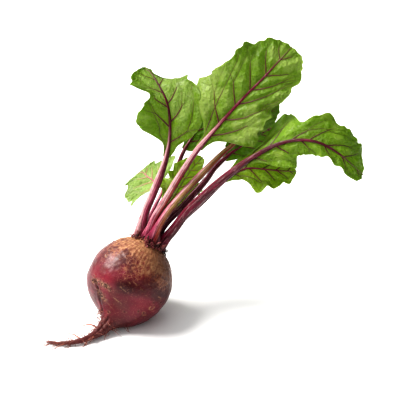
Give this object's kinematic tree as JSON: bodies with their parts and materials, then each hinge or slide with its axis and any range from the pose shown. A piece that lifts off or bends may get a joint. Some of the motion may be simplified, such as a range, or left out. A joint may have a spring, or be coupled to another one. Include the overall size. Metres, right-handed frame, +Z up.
{
  "type": "beetroot",
  "caption": "Round beetroot with a long bent taproot, fine side rootlets, dried stubs round the crown and a fan of stalked leaves leaning to one side.",
  "frame": {"origin": "centre of the small flat spot the root rests on", "axes": "+Z up from the surface it rests on; the leaves lean towards +X; the taproot lies towards -X and -Y"},
  "size_m": [0.2595, 0.1595, 0.2323],
  "materials": {
    "beet_skin": "satin wine-red skin with a tan corky shoulder",
    "leaf_stalk": "satin, ribbed along its length",
    "leaf_blade": "semi-gloss green leaf, thin and lit through",
    "dried_stub": "matte, dry",
    "rootlet": "matte, dry"
  },
  "bodies": {
    "root": {"beet_root": "beet_skin", "leaf_A_stem": "leaf_stalk", "leaf_A_blade": "leaf_blade", "leaf_B_stem": "leaf_stalk", "leaf_B_blade": "leaf_blade", "leaf_C_stem": "leaf_stalk", "leaf_C_blade": "leaf_blade", "leaf_D_stem": "leaf_stalk", "leaf_D_blade": "leaf_blade", "leaf_E_stem": "leaf_stalk", "leaf_E_blade": "leaf_blade", "leaf_F_stem": "leaf_stalk", "leaf_F_blade": "leaf_blade", "leaf_G_stem": "leaf_stalk", "leaf_G_blade": "leaf_blade", "leaf_H_stem": "leaf_stalk", "leaf_H_blade": "leaf_blade", "leaf_I_stem": "leaf_stalk", "leaf_I_blade": "leaf_blade", "dried_stub_1": "dried_stub", "dried_stub_2": "dried_stub", "dried_stub_3": "dried_stub", "dried_stub_4": "dried_stub", "dried_stub_5": "dried_stub", "dried_stub_6": "dried_stub", "dried_stub_7": "dried_stub", "rootlet_1": "rootlet", "rootlet_2": "rootlet", "rootlet_3": "rootlet", "rootlet_4": "rootlet"}
  },
  "joints": []
}
